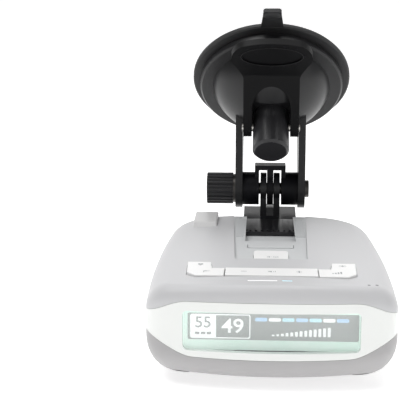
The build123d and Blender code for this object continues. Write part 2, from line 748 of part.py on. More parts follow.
# ---- dock -------------------------------------------------------------------------------
tray_gap = 0.1
tray_rear = body_len - 2.6
deck_t = 1.2
step_wall = 1.5
hook_x = blade_w / 2 - notch_depth + 0.8
hook_y = axis_behind_front - blade_reach + blade_bar_len + notch_len / 2
hook_w = 1.2
hook_len = 1.4
hook_slot = 0.4
hook_rise = 0.1
with BuildPart() as dock_tray:
    extrude(recess_plan(tray_under, -tray_gap), amount=deck_z - tray_under)
    # open past the rear of the case, and low where the blade's shoulder stands
    add(block(0, tray_rear + big / 2, tray_under - 1, big, big, 20), mode=Mode.SUBTRACT)
    add(block(0, rail_end + big / 2, tray_floor, big, big, 20), mode=Mode.SUBTRACT)
    # channel for the blade, with two lips over its edges
    add(block(0, deck_end + big / 2, tray_floor, 2 * channel_half, big, lip_z - tray_floor),
        mode=Mode.SUBTRACT)
    add(block(0, deck_end + big / 2, tray_floor, lip_gap, big, 10), mode=Mode.SUBTRACT)
    # hollow under the deck
    hollow_h = deck_z - deck_t - tray_under
    add(block(0, deck_end - step_wall - big / 2, tray_under - 1, big, big, hollow_h + 1),
        mode=Mode.SUBTRACT)
    for key in ("mute", "release"):
        extrude(key_plan(key, tray_under, key_gap), amount=10, mode=Mode.SUBTRACT)
    for x in (-hook_x, hook_x):
        add(block(x, hook_y, tray_under - 1, hook_w + 2 * hook_slot, hook_len + 2 * hook_slot, 6),
            mode=Mode.SUBTRACT)
save(dock_tray.part, "dock_tray")

# ---- keys -------------------------------------------------------------------------------
foot_key_z = keyboard_z + keyboard_t + switch_h + key_travel + 0.1
with BuildPart() as mute_button:
    extrude(key_plan("mute", foot_key_z, 0), amount=deck_z + mute_proud - foot_key_z)
    extrude(key_plan("mute", foot_key_z, flange_out), amount=0.6)
    fillet(mute_button.faces().sort_by(Axis.Z)[-1].edges(), 0.3)
save(mute_button.part, "mute_button")

with BuildPart() as release_button:
    extrude(key_plan("release", foot_key_z, 0), amount=deck_z + release_proud - foot_key_z)
    extrude(key_plan("release", foot_key_z, flange_out), amount=0.6)
    fillet(release_button.faces().sort_by(Axis.Z)[-1].edges(), 0.3)
save(release_button.part, "release_button")

latch_z = tray_under - 1.7
latch_t = 1.3
latch_y = release_front + release_len / 2
with BuildPart() as release_latch:
    add(block(0, (latch_y + hook_y) / 2, latch_z, 2 * hook_x + hook_w, hook_y - latch_y + 4, latch_t))
    add(block(0, (latch_y + hook_y) / 2, latch_z - 1, 12, 18, 4), mode=Mode.SUBTRACT)
    add(block(0, latch_y, latch_z + latch_t, 9, 3, foot_key_z - latch_z - latch_t))
    hook_h = tray_floor + hook_rise - latch_z - latch_t
    for x in (-hook_x, hook_x):
        add(block(x, hook_y, latch_z + latch_t, hook_w, hook_len, hook_h))
save(release_latch.part, "release_latch")

latch_spring_r = 2.4
latch_spring_wire = 0.3
spring_post_z = board_z + board_t
with BuildPart() as spring_post:
    with BuildSketch(BASE.offset(spring_post_z)):
        with Locations((0, latch_y)):
            Circle(latch_spring_r + 0.8)
    extrude(amount=2.0)
    with BuildSketch(BASE.offset(spring_post_z)):
        with Locations((0, latch_y)):
            Circle(latch_spring_r - latch_spring_wire - 0.3)
    extrude(amount=5.0)
save(spring_post.part, "spring_post")

latch_coil_h = latch_z - spring_post_z - 2.0 - 2 * latch_spring_wire - 0.1
latch_coil_z = spring_post_z + 2.0 + latch_spring_wire + 0.05
with BuildPart() as latch_spring:
    with BuildLine():
        wire = Helix(pitch=latch_coil_h / 5, height=latch_coil_h, radius=latch_spring_r,
                     center=(0, front_y + latch_y, bottom_z + latch_coil_z),
                     direction=(0, 0, 1))
    with BuildSketch(Plane(origin=wire @ 0, z_dir=wire % 0)):
        Circle(latch_spring_wire)
    sweep(path=wire, is_frenet=True)
save(latch_spring.part, "latch_spring")

for key in ("volume", "left", "right"):
    crown = 0.0 if key == "volume" else 0.2
    with BuildPart() as surface_key:
        extrude(key_plan(key, foot_key_z, flange_out), amount=flange_h)
        add(block(0, row_rear, foot_key_z - 1, 2 * rocker_half + 0.01, 60, 8),
            mode=Mode.INTERSECT if key == "volume" else Mode.SUBTRACT)
        if key != "volume":
            add(block(0, row_rear, foot_key_z - 1, 2 * (rocker_half + key_seam), 60, 8), mode=Mode.SUBTRACT)
        extrude(key_plan(key, foot_key_z, 0), amount=top_at(row_rear) + key_proud - crown - foot_key_z)
        fillet(surface_key.faces().sort_by(Axis.Z)[-1].edges(), 0.3)
    save(surface_key.part, {"volume": "volume_rocker", "left": "left_key", "right": "right_key"}[key])

with BuildPart() as key_board:
    add(block(0, 39.5, keyboard_z, 54, 47, keyboard_t))
save(key_board.part, "key_board")

switch_spots = [(-24, 29), (-20, 20), (-12, 21), (12, 21), (20, 20), (24, 29),
                (0, mute_front + 6.4)]
for number, (x, y) in enumerate(switch_spots, 1):
    with BuildPart() as key_switch:
        add(block(x, y, keyboard_z + keyboard_t, 3.6, 3.6, switch_h - 0.5))
        with BuildSketch(BASE.offset(keyboard_z + keyboard_t + switch_h - 0.5)):
            with Locations((x, y)):
                Circle(1.0)
        extrude(amount=0.5)
    save(key_switch.part, "key_switch_%d" % number)

# ---- inside -----------------------------------------------------------------------------
with BuildPart() as main_board:
    board_mid = (board_front + board_rear) / 2
    add(block(0, board_mid, board_z, 2 * board_half, board_rear - board_front, board_t))
    with BuildSketch(BASE.offset(board_z)):
        with Locations(*board_posts):
            Circle(screw_r + 0.1)
    extrude(amount=board_t, mode=Mode.SUBTRACT)
save(main_board.part, "main_board")

shield_y = 90.0 * stretch
shield_w = 30.0
shield_len = 22.0
shield_h = 5.0
shield_wall = 0.5
with BuildPart() as rf_shield:
    add(block(0, shield_y, board_z + board_t, shield_w, shield_len, shield_h))
    add(block(0, shield_y, board_z + board_t, shield_w - 2 * shield_wall, shield_len - 2 * shield_wall,
              shield_h - shield_wall), mode=Mode.SUBTRACT)
save(rf_shield.part, "rf_shield")

with BuildPart() as gps_antenna:
    add(block(16, 62 * stretch, board_z + board_t, 15, 15, 4.2))
save(gps_antenna.part, "gps_antenna")

with BuildPart() as processor_chip:
    add(block(-12, 58 * stretch, board_z + board_t, 12, 12, 1.2))
save(processor_chip.part, "processor_chip")

with BuildPart() as speaker:
    with BuildSketch(BASE.offset(wall + 0.6)):
        with Locations((0, speaker_y)):
            Circle(speaker_r)
    extrude(amount=3.0)
    with BuildSketch(BASE.offset(wall + 3.6)):
        with Locations((0, speaker_y)):
            Circle(7.5)
    extrude(amount=4.0)
save(speaker.part, "speaker")

horn_z = 4.2
horn_h = 8.4
horn_wall = 1.0
horn_throat_y = 72.0 * stretch
horn_mouth_y = 126.0 * stretch
horn_throat_half = 7.0
horn_mouth_half = 22.0
with BuildPart() as horn_antenna:
    with BuildSketch(BASE.offset(horn_z)):
        with BuildLine():
            Polyline((-horn_throat_half, horn_throat_y), (horn_throat_half, horn_throat_y),
                     (horn_mouth_half, horn_mouth_y), (-horn_mouth_half, horn_mouth_y), close=True)
        make_face()
    extrude(amount=horn_h)
    with BuildSketch(BASE.offset(horn_z + horn_wall)):
        with BuildLine():
            Polyline((horn_wall - horn_throat_half, horn_throat_y + 2),
                     (horn_throat_half - horn_wall, horn_throat_y + 2),
                     (horn_mouth_half + 0.1 - horn_wall, horn_mouth_y + 1),
                     (horn_wall - horn_mouth_half - 0.1, horn_mouth_y + 1), close=True)
        make_face()
    extrude(amount=horn_h - 2 * horn_wall, mode=Mode.SUBTRACT)
save(horn_antenna.part, "horn_antenna")

with BuildPart() as microwave_module:
    add(block(0, 64 * stretch, horn_z, 24, 15.8 * stretch, horn_h - 0.2))
save(microwave_module.part, "microwave_module")

with BuildPart() as laser_sensor:
    add(block(hump_x, hump_rear - 5, 28, 6.0, 7.0, 4.8))
save(laser_sensor.part, "laser_sensor")

with BuildPart() as rear_laser_lens:
    add(block(hump_x, hump_rear - 0.7, laser_z + 0.05, hump_w - 2.2, 1.2, 2.9))
save(rear_laser_lens.part, "rear_laser_lens")

with BuildPart() as ambient_sensor:
    add(block(32.5, 9.6, 27.6, 4.2, 2.6, 1.6))
save(ambient_sensor.part, "ambient_sensor")

for (y, z, w, h), name in zip(sockets, ("power_jack", "usb_port")):
    depth = 12.0 if name == "power_jack" else 6.0
    with BuildPart() as socket:
        middle = socket_x - depth / 2
        add(block(middle, y, z - h / 2 + 0.1, depth, w, h - 0.2))
        add(block(middle + 1, y, z - h / 2 + 0.9, depth, w - 1.8, h - 1.8), mode=Mode.SUBTRACT)
        if name == "usb_port":
            add(block(middle, y, z - 0.3, depth - 2, w - 3.2, 0.6))
    save(socket.part, name)

with BuildPart() as audio_jack:
    with BuildSketch(LONG.offset(socket_x - audio_depth)):
        with Locations((audio_y, socket_z)):
            Circle(audio_case_r)
            Circle(audio_r, mode=Mode.SUBTRACT)
    extrude(amount=audio_depth)
save(audio_jack.part, "audio_jack")

# ---- fasteners --------------------------------------------------------------------------
with BuildPart() as cover_screws:
    with BuildSketch(BASE.offset(head_seat_z - screw_head_t)):
        with Locations(*corner_posts):
            Circle(screw_head_r)
    extrude(amount=screw_head_t)
    with BuildSketch(BASE.offset(head_seat_z)):
        with Locations(*corner_posts):
            Circle(screw_r)
    extrude(amount=parting_z + 5.6 - head_seat_z)
    for x, y in corner_posts:
        add(block(x, y, head_seat_z - screw_head_t, 2.2, 0.5, 0.6), mode=Mode.SUBTRACT)
        add(block(x, y, head_seat_z - screw_head_t, 0.5, 2.2, 0.6), mode=Mode.SUBTRACT)
save(cover_screws.part, "cover_screws")

with BuildPart() as board_screws:
    with BuildSketch(BASE.offset(board_z + board_t)):
        with Locations(*board_posts):
            Circle(screw_head_r)
    extrude(amount=1.2)
    with BuildSketch(BASE.offset(board_z - 5)):
        with Locations(*board_posts):
            Circle(screw_r)
    extrude(amount=board_t + 5)
save(board_screws.part, "board_screws")
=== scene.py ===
import bpy
import bmesh
import json
from math import atan2, cos, hypot, pi, radians, sin
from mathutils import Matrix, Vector


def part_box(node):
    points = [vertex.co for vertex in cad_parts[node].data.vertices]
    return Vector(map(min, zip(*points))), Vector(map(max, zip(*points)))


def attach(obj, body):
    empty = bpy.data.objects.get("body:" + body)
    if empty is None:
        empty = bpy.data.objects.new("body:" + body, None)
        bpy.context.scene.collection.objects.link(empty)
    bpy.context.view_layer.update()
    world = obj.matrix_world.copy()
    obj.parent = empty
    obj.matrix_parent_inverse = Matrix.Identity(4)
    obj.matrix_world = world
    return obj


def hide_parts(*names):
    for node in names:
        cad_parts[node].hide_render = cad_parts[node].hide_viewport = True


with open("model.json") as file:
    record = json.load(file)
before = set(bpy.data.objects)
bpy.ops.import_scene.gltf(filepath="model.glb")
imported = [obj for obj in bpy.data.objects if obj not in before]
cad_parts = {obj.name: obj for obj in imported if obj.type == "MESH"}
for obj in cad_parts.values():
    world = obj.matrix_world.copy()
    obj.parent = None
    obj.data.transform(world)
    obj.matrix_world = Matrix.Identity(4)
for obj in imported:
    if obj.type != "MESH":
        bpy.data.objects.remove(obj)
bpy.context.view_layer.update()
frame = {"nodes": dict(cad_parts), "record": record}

MM = 0.001
scene = bpy.context.scene
nodes = {name: bpy.data.objects[name] for name in frame["nodes"]}

# ---- frames: the detector's own frame stands on its bottom, at its front face -----------
case_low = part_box("bottom_cover")[0]
FRONT_Y, BOTTOM_Z = case_low[1], case_low[2]
RAKE = radians(45)
UP_GLASS = Vector((0, -cos(RAKE), sin(RAKE)))
OUT_GLASS = Vector((0, -sin(RAKE), -cos(RAKE)))


def det(x, y, z):
    """A point in the detector's frame, in millimetres, as a point of the scene."""
    return Vector((x * MM, FRONT_Y + y * MM, BOTTOM_Z + z * MM))


def glass(x, y, z):
    """A point in the mount's frame: x across, y up the glass, z away from it."""
    return Vector((x * MM, 0, 0)) + UP_GLASS * (y * MM) + OUT_GLASS * (z * MM)


# ---- materials --------------------------------------------------------------------------
def material(name, color, rough, metal=0.0, grain=0.35, depth=0.02, tone=0.04, coat=0.0,
             coat_rough=0.1, spec=0.5, drift=18.0, emission=None, strength=0.0, alpha=1.0,
             transmission=0.0, ior=1.46, second=None):
    """A moulded or metal finish: grain in mm, with drifting tone and roughness."""
    made = bpy.data.materials.new(name)
    made.use_nodes = True
    tree = made.node_tree
    shader = tree.nodes["Principled BSDF"]
    shader.inputs["Metallic"].default_value = metal
    shader.inputs["Coat Weight"].default_value = coat
    shader.inputs["Coat Roughness"].default_value = coat_rough
    shader.inputs["Specular IOR Level"].default_value = spec
    shader.inputs["IOR"].default_value = ior
    shader.inputs["Alpha"].default_value = alpha
    shader.inputs["Transmission Weight"].default_value = transmission
    if emission:
        shader.inputs["Emission Color"].default_value = (*emission, 1)
        shader.inputs["Emission Strength"].default_value = strength
    place = tree.nodes.new("ShaderNodeTexCoord")
    wide = tree.nodes.new("ShaderNodeTexNoise")
    wide.inputs["Scale"].default_value = 1000.0 / drift
    wide.inputs["Detail"].default_value = 3
    fine = tree.nodes.new("ShaderNodeTexNoise")
    fine.inputs["Scale"].default_value = 1000.0 / grain
    fine.inputs["Detail"].default_value = 2
    tint = tree.nodes.new("ShaderNodeMix")
    tint.data_type = "RGBA"
    tint.inputs["A"].default_value = (*[max(0, c * (1 - tone)) for c in color], 1)
    tint.inputs["B"].default_value = (*(second or [min(1, c * (1 + tone)) for c in color]), 1)
    gloss = tree.nodes.new("ShaderNodeMapRange")
    gloss.inputs["To Min"].default_value = rough * 0.88
    gloss.inputs["To Max"].default_value = min(1.0, rough * 1.12)
    bump = tree.nodes.new("ShaderNodeBump")
    bump.inputs["Strength"].default_value = 0.5
    bump.inputs["Distance"].default_value = depth * MM
    link = tree.links.new
    link(place.outputs["Object"], wide.inputs["Vector"])
    link(place.outputs["Object"], fine.inputs["Vector"])
    link(wide.outputs["Fac"], tint.inputs["Factor"])
    link(tint.outputs["Result"], shader.inputs["Base Color"])
    link(wide.outputs["Fac"], gloss.inputs["Value"])
    link(gloss.outputs["Result"], shader.inputs["Roughness"])
    link(fine.outputs["Fac"], bump.inputs["Height"])
    link(bump.outputs["Normal"], shader.inputs["Normal"])
    return made


BLACK = material("black_satin", (0.009, 0.009, 0.010), 0.36, grain=0.5, depth=0.012, tone=0.2, spec=0.4,
                 coat=0.12, coat_rough=0.22)
BLACK_MATT = material("black_matt", (0.006, 0.006, 0.008), 0.42, grain=0.3, depth=0.03, tone=0.2, spec=0.2)
LEVER = material("black_lever", (0.004, 0.004, 0.0045), 0.42, grain=0.5, depth=0.012, tone=0.2, spec=0.16)
STEM = material("black_stem", (0.022, 0.022, 0.024), 0.3, grain=0.5, depth=0.012, tone=0.2, spec=0.5)
KNOB = material("black_knob", (0.014, 0.014, 0.016), 0.35, grain=0.4, depth=0.012, tone=0.2, spec=0.6)
BLADE = material("black_blade", (0.010, 0.010, 0.012), 0.3, grain=0.35, depth=0.02, tone=0.2, spec=0.5)
RUBBER = material("rubber", (0.028, 0.028, 0.029), 0.5, grain=0.8, depth=0.02, tone=0.25, spec=0.35)
STEEL = material("steel", (0.72, 0.70, 0.66), 0.28, metal=1.0, grain=0.15, depth=0.01)
STEEL_DARK = material("steel_dark", (0.10, 0.095, 0.09), 0.35, metal=1.0, grain=0.15, depth=0.01)
BRASS = material("brass", (0.72, 0.55, 0.25), 0.3, metal=1.0, grain=0.2, depth=0.01)
COVER = material("cover_pale", (0.62, 0.62, 0.632), 0.4, grain=0.25, depth=0.02, tone=0.02)
CASE = material("case_pale", (0.44, 0.432, 0.436), 0.42, grain=0.25, depth=0.02, tone=0.02)
BEZEL = material("bezel_white", (0.90, 0.915, 0.895), 0.22, grain=0.4, depth=0.006, tone=0.012, coat=0.3)
HUMP = material("hump_grey", (0.72, 0.715, 0.715), 0.35, grain=0.25, depth=0.02, tone=0.02)
PRINT = material("print_grey", (0.40, 0.41, 0.42), 0.5, grain=0.3, depth=0.0, tone=0.03)
TRAY = material("tray_blue", (0.66, 0.672, 0.68), 0.4, grain=0.25, depth=0.02, tone=0.03)
KEY = material("key_white", (0.96, 0.96, 0.955), 0.35, grain=0.2, depth=0.015, tone=0.012)
LENS = material("lens_clear", (0.90, 0.98, 0.95), 0.05, grain=2.0, depth=0.002, tone=0.01,
                alpha=0.12, coat=0.5, coat_rough=0.03)
SCREEN = material("screen_grey", (0.50, 0.50, 0.505), 0.3, grain=1.0, depth=0.002, tone=0.02)
BOARD = material("board_green", (0.03, 0.16, 0.07), 0.4, grain=1.2, depth=0.03, tone=0.2)
CHIP = material("chip_black", (0.02, 0.02, 0.02), 0.5, grain=0.3, depth=0.02, tone=0.2)
TIN = material("tin", (0.72, 0.72, 0.70), 0.35, metal=1.0, grain=0.4, depth=0.02)
ZINC = material("zinc", (0.55, 0.55, 0.53), 0.45, metal=1.0, grain=0.5, depth=0.05, tone=0.1)
CERAMIC = material("ceramic_tan", (0.60, 0.52, 0.38), 0.5, grain=0.4, depth=0.02, tone=0.06)
DARK_LENS = material("lens_dark", (0.05, 0.012, 0.015), 0.1, grain=1.5, depth=0.002, tone=0.1, coat=0.5)

FINISH = {"rubber_black": RUBBER, "plastic_black": BLACK, "plastic_black_matt": BLACK_MATT, "steel": STEEL,
          "steel_dark": STEEL_DARK, "brass": BRASS, "cover_pale": COVER, "case_pale": CASE,
          "bezel_white": BEZEL, "lens_clear": LENS, "screen": SCREEN, "tray_blue": TRAY, "key_white": KEY,
          "board_green": BOARD, "chip_black": CHIP, "tin": TIN, "zinc": ZINC, "ceramic_tan": CERAMIC,
          "lens_dark": DARK_LENS, "cone": BLACK_MATT}
OWN_FINISH = {"dock_blade": BLADE, "cam_lever": LEVER, "stem_post": STEM, "clamp_knob": KNOB}

# bevel widths in mm; the other nodes get the narrow one
NARROW_EDGE = 0.12
SOFT_EDGE = {"mount_base": 0.35, "stem_post": 0.5, "swivel_yoke": 0.3, "dock_blade": 0.25, "clamp_bolt": 0.2,
             "dock_tray": 0.2, "clamp_washer": 0.15, "suction_pad": 0.3}

for part in frame["record"]["subparts"]:
    node = nodes[part["node"]]
    node.data.materials.clear()
    node.data.materials.append(OWN_FINISH.get(part["node"], FINISH[part["material_slot"]]))
    width = SOFT_EDGE.get(part["node"], NARROW_EDGE)
    edge = node.modifiers.new("soft_edge", "BEVEL")
    edge.width = width * MM
    edge.segments = 3
    edge.limit_method = "ANGLE"
    edge.angle_limit = radians(35)

# ---- detector case: one smooth body, cut into its shells --------------------------------
WALL = 2.0
HALF_FRONT, HALF_SIDE, HALF_REAR = 40.8, 42.9, 41.0
BODY_LEN = 136.2
FRONT_SAG, REAR_SAG = 5.6, 6.0
CORNER_FRONT, CORNER_REAR = 9.0, 23.0
TOP_FRONT, TOP_REAR = 34.8, 32.0
PARTING = 20.0
SEAM = 0.12
CHIN_LEN = 15.0
CHIN_LIFT, CHIN_FADE = 2.3, 40.0
BEZEL_TOP, BEZEL_LOW = 29.6, 10.8
WINDOW_W, WINDOW_H, WINDOW_Z = 57.0, 13.1, 19.75


def arc_through(a, b, c, count):
    """Points on the circle through three plan points, from a to c."""
    ax, ay, bx, by, cx, cy = *a, *b, *c
    d = 2 * (ax * (by - cy) + bx * (cy - ay) + cx * (ay - by))
    ux = ((ax**2 + ay**2) * (by - cy) + (bx**2 + by**2) * (cy - ay) + (cx**2 + cy**2) * (ay - by)) / d
    uy = ((ax**2 + ay**2) * (cx - bx) + (bx**2 + by**2) * (ax - cx) + (cx**2 + cy**2) * (bx - ax)) / d
    r = hypot(ax - ux, ay - uy)
    t0, t1 = atan2(ay - uy, ax - ux), atan2(cy - uy, cx - ux)
    while t1 < t0:
        t1 += 2 * pi
    return [(ux + r * cos(t0 + (t1 - t0) * k / count), uy + r * sin(t0 + (t1 - t0) * k / count))
            for k in range(count + 1)]


def round_corner(run, following, radius, count):
    """Round the corner between two runs of points with a curve of the given radius; returns the kept first
    run, the curve and the kept second run.
    """
    corner = run[-1]
    back, ahead = run[-2], following[1]
    u = Vector((back[0] - corner[0], back[1] - corner[1])).normalized()
    v = Vector((ahead[0] - corner[0], ahead[1] - corner[1])).normalized()
    half = u.angle(v) / 2
    reach = radius / max(1e-6, abs(sin(half) / cos(half)))
    keep_a = [p for p in run if hypot(p[0] - corner[0], p[1] - corner[1]) > reach]
    keep_b = [p for p in following if hypot(p[0] - corner[0], p[1] - corner[1]) > reach]
    start, end = Vector(keep_a[-1]), Vector(keep_b[0])
    control = Vector(corner)
    bend = []
    for k in range(1, count):
        t = k / count
        w = 0.5 + 0.5 * cos(half)
        a, b, c = (1 - t) ** 2, 2 * t * (1 - t) * w, t ** 2
        bend.append(tuple((start * a + control * b + end * c) / (a + b + c)))
    return keep_a, bend, keep_b


def plan_outline():
    """The case seen from above, as one closed run of points, counterclockwise from the front."""
    corner = (HALF_FRONT, FRONT_SAG)
    tail = (HALF_REAR, BODY_LEN - REAR_SAG)
    front = arc_through((0, 0), (HALF_FRONT / 2, FRONT_SAG / 4), corner, 80)
    side = arc_through(corner, (HALF_SIDE, BODY_LEN / 2), tail, 160)
    rear = arc_through(tail, (HALF_REAR / 2, BODY_LEN - REAR_SAG / 4), (0, BODY_LEN), 80)
    a, bend_a, b = round_corner(front, side, CORNER_FRONT, 14)
    b, bend_b, c = round_corner(b, rear, CORNER_REAR, 30)
    half = a + bend_a + b + bend_b + c
    spaced = [half[0]]
    for p in half[1:]:
        if hypot(p[0] - spaced[-1][0], p[1] - spaced[-1][1]) > 1.3:
            spaced.append(p)
    spaced[-1] = half[-1]
    return spaced + [(-x, y) for x, y in reversed(spaced[1:-1])]


OUTLINE = plan_outline()


def inward(points, i):
    """Unit normal of the outline at point i, pointing into the case."""
    (x0, y0), (x1, y1) = points[i - 1], points[(i + 1) % len(points)]
    length = hypot(x1 - x0, y1 - y0)
    return -(y1 - y0) / length, (x1 - x0) / length


NORMALS = [inward(OUTLINE, i) for i in range(len(OUTLINE))]


def ease(value, start, end):
    t = min(1.0, max(0.0, (value - start) / (end - start)))
    return t * t * (3 - 2 * t)


def roof(x, y):
    """Height of the top surface away from its rounded edges."""
    slope = TOP_FRONT + (TOP_REAR - TOP_FRONT) * (y - 8) / (BODY_LEN - 13)
    return slope - 1.5 * (x / 40) ** 2


def under(x, y):
    lift = CHIN_LIFT * max(0.0, 1 - y / CHIN_FADE) ** 2
    return 1.4 * (x / 36) ** 2 + 0.6 * ease(y, 100, BODY_LEN) + lift


def edge_sizes(i):
    """Rounding of the case at outline point i: top width and drop, bottom width and rise."""
    ny = NORMALS[i][1]
    front, rear = max(0.0, ny) ** 2, max(0.0, -ny) ** 2
    side = 1 - front - rear
    top_w = 4.2 * front + 8.5 * side + 6.0 * rear
    top_h = 5.4 * front + 8.5 * side + 7.0 * rear
    low_w = CHIN_LEN * front + 14.0 * side + 9.0 * rear
    low_h = 9.5 * front + 13.5 * side + 9.0 * rear
    full = 2.0 * front + 2.4 * (1 - front)
    return top_w, top_h, low_w, low_h, full


def body_mesh(name, inset):
    """Closed mesh of the whole case, drawn in by inset."""
    rings = []
    count = len(OUTLINE)
    steps = [0.02, 0.06, 0.12, 0.2, 0.3, 0.42, 0.55, 0.68, 0.8, 0.9, 0.97, 1.0]

    def centre(i):
        return 0.0, min(96.0, max(40.0, OUTLINE[i][1]))

    def flat_ring(share, height, width_of):
        ring = []
        for i in range(count):
            d = width_of(i) + inset
            x = OUTLINE[i][0] + NORMALS[i][0] * d
            y = OUTLINE[i][1] + NORMALS[i][1] * d
            cx, cy = centre(i)
            x, y = cx + (x - cx) * share, cy + (y - cy) * share
            ring.append((x, y, height(x, y)))
        return ring

    for share in (0.12, 0.4, 0.65, 0.85):
        rings.append(flat_ring(share, lambda x, y: under(x, y) + inset, lambda i: edge_sizes(i)[2]))
    for t in reversed(steps):
        ring = []
        for i in range(count):
            top_w, top_h, low_w, low_h, full = edge_sizes(i)
            angle = t * pi / 2
            d = low_w * (1 - cos(angle) ** (2 / full)) + inset
            x = OUTLINE[i][0] + NORMALS[i][0] * d
            y = OUTLINE[i][1] + NORMALS[i][1] * d
            rise = low_h * (1 - sin(angle) ** (2 / full))
            ring.append((x, y, under(x, y) + inset + rise * (1 - inset / 14)))
        rings.append(ring)
    for z in (17.0, 20.0, 23.0):
        rings.append([(OUTLINE[i][0] + NORMALS[i][0] * inset, OUTLINE[i][1] + NORMALS[i][1] * inset, z)
                      for i in range(count)])
    for t in steps:
        ring = []
        for i in range(count):
            top_w, top_h, low_w, low_h, full = edge_sizes(i)
            angle = t * pi / 2
            d = top_w * (1 - cos(angle)) + inset
            x = OUTLINE[i][0] + NORMALS[i][0] * d
            y = OUTLINE[i][1] + NORMALS[i][1] * d
            drop = top_h * (1 - sin(angle))
            ring.append((x, y, roof(x, y) - inset - drop * (1 - inset / 14)))
        rings.append(ring)
    for share in (0.85, 0.65, 0.4, 0.12):
        rings.append(flat_ring(share, lambda x, y: roof(x, y) - inset, lambda i: edge_sizes(i)[0]))

    mesh = bpy.data.meshes.new(name)
    grid = bmesh.new()
    rows = [[grid.verts.new(det(*p)) for p in ring] for ring in rings]
    for lower, upper in zip(rows, rows[1:]):
        for i in range(count):
            j = (i + 1) % count
            grid.faces.new((lower[i], lower[j], upper[j], upper[i]))
    for row, flip in ((rows[0], True), (rows[-1], False)):
        half = count // 2
        for i in range(half):
            a, b = row[i], row[(i + 1) % count]
            c, d = row[(count - i - 1) % count], row[(count - i) % count]
            corners = [v for k, v in enumerate((a, b, c, d)) if v not in (a, b, c, d)[:k]]
            if len(corners) > 2:
                grid.faces.new(corners[::-1] if flip else corners)
    bmesh.ops.recalc_face_normals(grid, faces=grid.faces)
    grid.to_mesh(mesh)
    grid.free()
    made = bpy.data.objects.new(name, mesh)
    scene.collection.objects.link(made)
    return made


def prism(name, outline, place, depth):
    """Closed prism: outline points put in space by place(u, v, w), w from 0 to depth."""
    mesh = bpy.data.meshes.new(name)
    grid = bmesh.new()
    low = [grid.verts.new(place(u, v, 0)) for u, v in outline]
    high = [grid.verts.new(place(u, v, depth)) for u, v in outline]
    grid.faces.new(low)
    grid.faces.new(high[::-1])
    for i in range(len(outline)):
        j = (i + 1) % len(outline)
        grid.faces.new((low[i], high[i], high[j], low[j]))
    bmesh.ops.recalc_face_normals(grid, faces=grid.faces)
    grid.to_mesh(mesh)
    grid.free()
    made = bpy.data.objects.new(name, mesh)
    scene.collection.objects.link(made)
    return made


def rounded(points, radii, count=8):
    """Polygon with its corners rounded; one radius for each corner."""
    out = []
    for k, (p, r) in enumerate(zip(points, radii)):
        if r <= 0:
            out.append(p)
            continue
        p = Vector(p)
        a = (Vector(points[k - 1]) - p).normalized()
        b = (Vector(points[(k + 1) % len(points)]) - p).normalized()
        half = a.angle(b) / 2
        reach = r / (sin(half) / cos(half))
        middle = p + (a + b).normalized() * (r / sin(half))
        start, end = p + a * reach - middle, p + b * reach - middle
        turn = start.angle_signed(end)
        for s in range(count + 1):
            t = -turn * s / count
            out.append((middle.x + start.x * cos(t) - start.y * sin(t),
                        middle.y + start.x * sin(t) + start.y * cos(t)))
    return out


def plate(half_w, half_h, x, y, radius, count=8):
    """Rounded rectangle about a middle point."""
    return rounded([(x - half_w, y - half_h), (x + half_w, y - half_h), (x + half_w, y + half_h),
                    (x - half_w, y + half_h)], [radius] * 4, count)


def bar(x, y, w, h, turn=0.0, corner=0.0):
    shape = [(-w / 2, -h / 2), (w / 2, -h / 2), (w / 2, h / 2), (-w / 2, h / 2)]
    shape = rounded(shape, [corner] * 4, 5) if corner else shape
    c, s = cos(radians(turn)), sin(radians(turn))
    return [(x + u * c - v * s, y + u * s + v * c) for u, v in shape]


def disc(x, y, r, count=24):
    return [(x + r * cos(2 * pi * k / count), y + r * sin(2 * pi * k / count)) for k in range(count)]


def cut(target, tool, operation="DIFFERENCE"):
    """Apply a boolean to target and throw the tool away."""
    step = target.modifiers.new("cut", "BOOLEAN")
    step.object = tool
    step.operation = operation
    step.solver = "MANIFOLD"
    view = bpy.context.evaluated_depsgraph_get()
    result = bpy.data.meshes.new_from_object(target.evaluated_get(view))
    target.modifiers.clear()
    target.data = result
    bpy.data.objects.remove(tool)


def copy_of(source, name):
    made = source.copy()
    made.data = source.data.copy()
    made.name = name
    scene.collection.objects.link(made)
    return made


def joined(tools):
    """One cutter made of several separate ones."""
    grid = bmesh.new()
    for tool in tools:
        grid.from_mesh(tool.data)
    for tool in tools[1:]:
        bpy.data.objects.remove(tool)
    grid.to_mesh(tools[0].data)
    grid.free()
    return tools[0]


def slab(name, z0, z1):
    """Cutter wider than the case, from height z0 to z1."""
    plan = [(-90, -40), (90, -40), (90, 200), (-90, 200)]
    return prism(name, plan, lambda u, v, w: det(u, v, z0 + w), z1 - z0)


def bezel_outline(grow):
    """The bezel's band in front view: long top and bottom curves and short upright tips."""
    top, low = [], []
    for x in range(-46, 47):
        flare, tip = (x / 30) ** 2, 0.16 * max(0, abs(x) - 40)
        top.append((x, BEZEL_TOP + grow - 0.35 * flare - 4.6 * ease(abs(x), 27, 44) - tip))
        low.append((x, BEZEL_LOW - grow + 0.4 * flare + 6.6 * ease(abs(x), 25, 44) + tip))
    low.reverse()
    return top + low


def bezel_band(name, grow, y0, y1):
    return prism(name, bezel_outline(grow), lambda u, v, w: det(u, y0 + w, v), y1 - y0)


